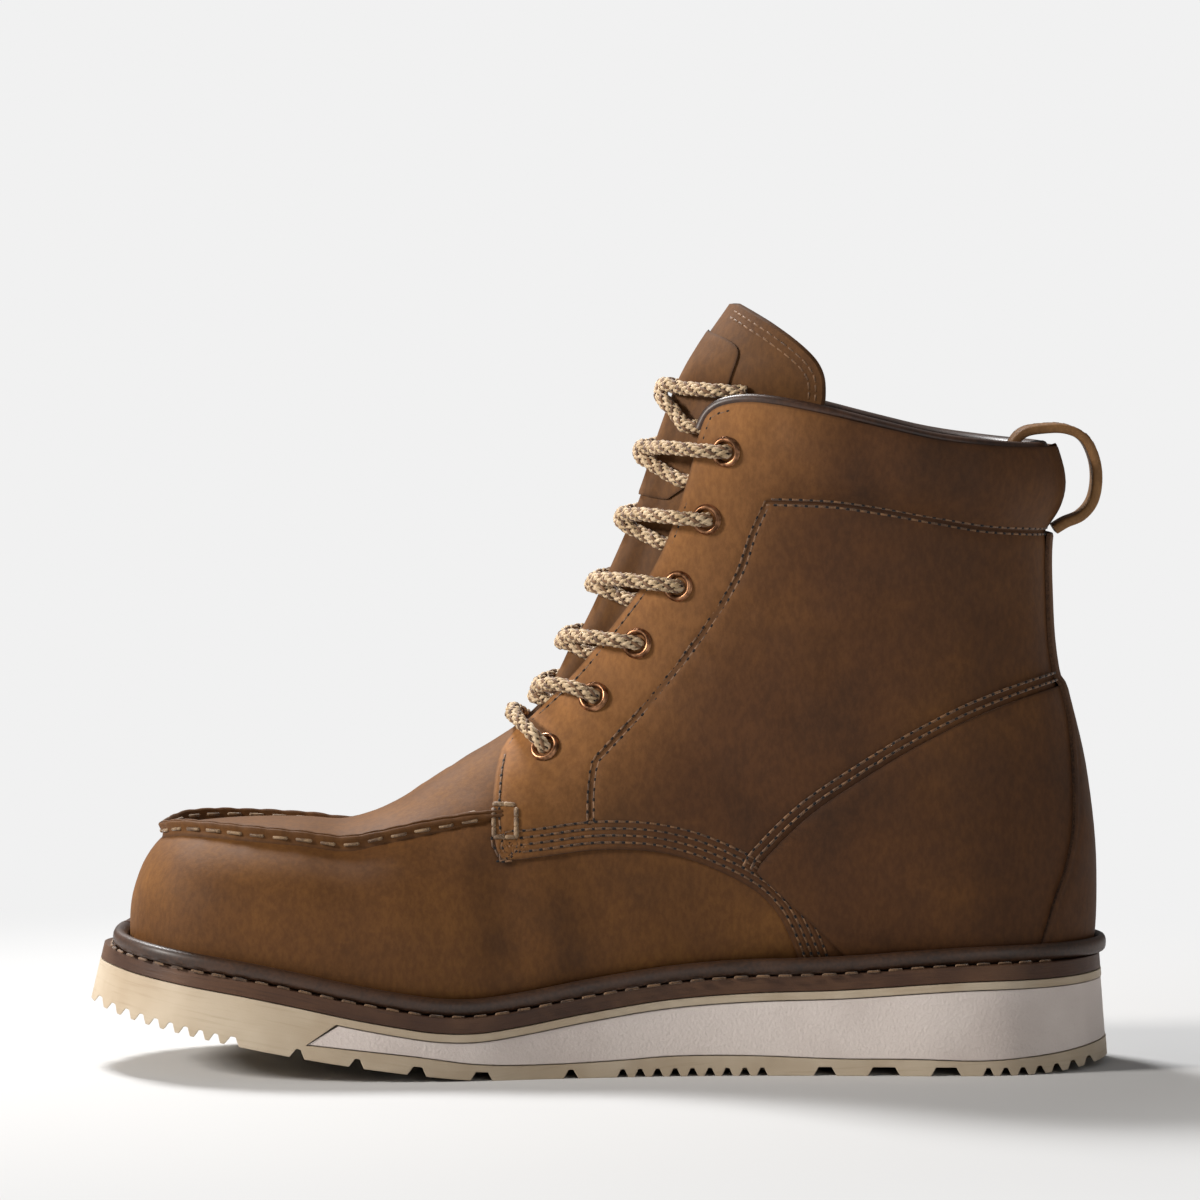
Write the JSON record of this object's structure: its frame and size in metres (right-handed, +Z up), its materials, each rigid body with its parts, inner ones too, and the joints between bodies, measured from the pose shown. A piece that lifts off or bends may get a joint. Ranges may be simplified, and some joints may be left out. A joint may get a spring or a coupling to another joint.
{
  "type": "work boot",
  "caption": "Lace-up ankle-high leather work boot with a moccasin toe, welted edge and a flat wedge sole.",
  "frame": {"origin": "centre of the bounding box in plan, on the plane that the sole stands on", "axes": "+X from toe to heel, so the toe points along -X; +Y towards the lateral side; +Z up"},
  "size_m": [0.308, 0.1112, 0.2308],
  "materials": {
    "leather": "oiled nubuck, tan brown, worn",
    "overlay": "oiled nubuck, a shade darker",
    "binding": "smooth dark leather binding",
    "welt": "dark semi-gloss welt",
    "midsole": "brown leather edge",
    "outsole": "cream rubber with fine streaks",
    "wedge": "off-white stippled foam",
    "lining": "brown lining leather",
    "metal": "antique copper",
    "lace": "round woven cord"
  },
  "bodies": {
    "root": {"outsole": "outsole", "wedge": "wedge", "midsole": "midsole", "welt_bead": "welt", "insole": "lining", "upper": "leather", "heel_counter": "overlay", "backstay": "overlay", "tongue": "leather", "tongue_label": "overlay", "collar_binding": "binding", "pull_loop": "leather", "eyelet_near_1": "metal", "eyelet_far_1": "metal", "eyelet_near_2": "metal", "eyelet_far_2": "metal", "eyelet_near_3": "metal", "eyelet_far_3": "metal", "eyelet_near_4": "metal", "eyelet_far_4": "metal", "eyelet_near_5": "metal", "eyelet_far_5": "metal", "eyelet_near_6": "metal", "eyelet_far_6": "metal", "lace_bar": "lace", "lace_cross_1": "lace", "lace_cross_2": "lace", "lace_cross_3": "lace", "lace_cross_4": "lace", "lace_cross_5": "lace", "lace_cross_6": "lace"}
  },
  "joints": []
}
